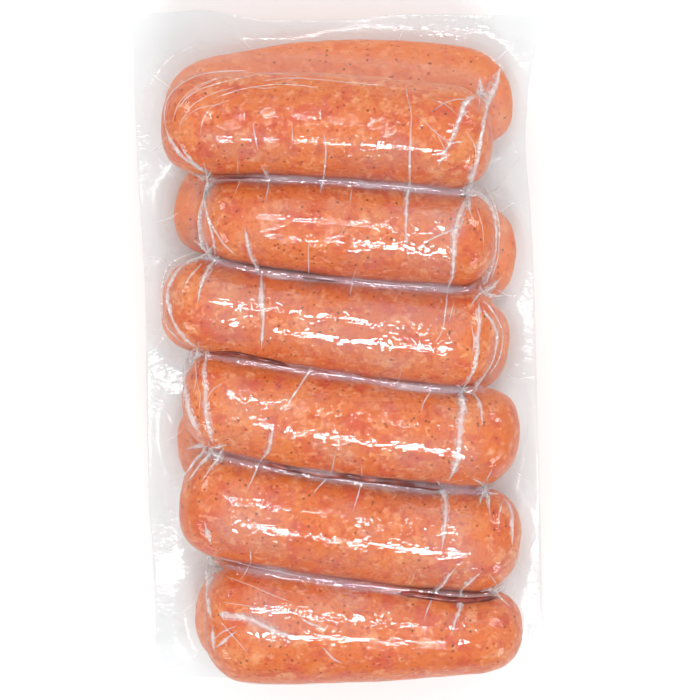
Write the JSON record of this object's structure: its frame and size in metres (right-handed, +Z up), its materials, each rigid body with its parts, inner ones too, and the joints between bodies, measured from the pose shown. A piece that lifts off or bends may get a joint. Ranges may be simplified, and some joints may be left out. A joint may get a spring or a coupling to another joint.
{
  "type": "vacuum-sealed sausage links",
  "caption": "Clear vacuum-sealed bag of fat raw sausage links lying side by side in two layers, the film drawn tight over them and a flat seal margin all round.",
  "frame": {"origin": "under the middle of the bag, on the surface it lies on", "axes": "+X along the links, +Y along the bag towards the end where the lower layer reaches out, +Z up through the layers, with the shown side up"},
  "size_m": [0.1534, 0.2556, 0.071],
  "materials": {
    "film": "clear glossy vacuum film, slightly hazy where it is folded or lies double",
    "sausage": "raw minced pork in natural casing: moist, orange-pink, mottled with red meat and pale fat"
  },
  "bodies": {
    "root": {"sealed_bag": "film"}
  },
  "joints": []
}
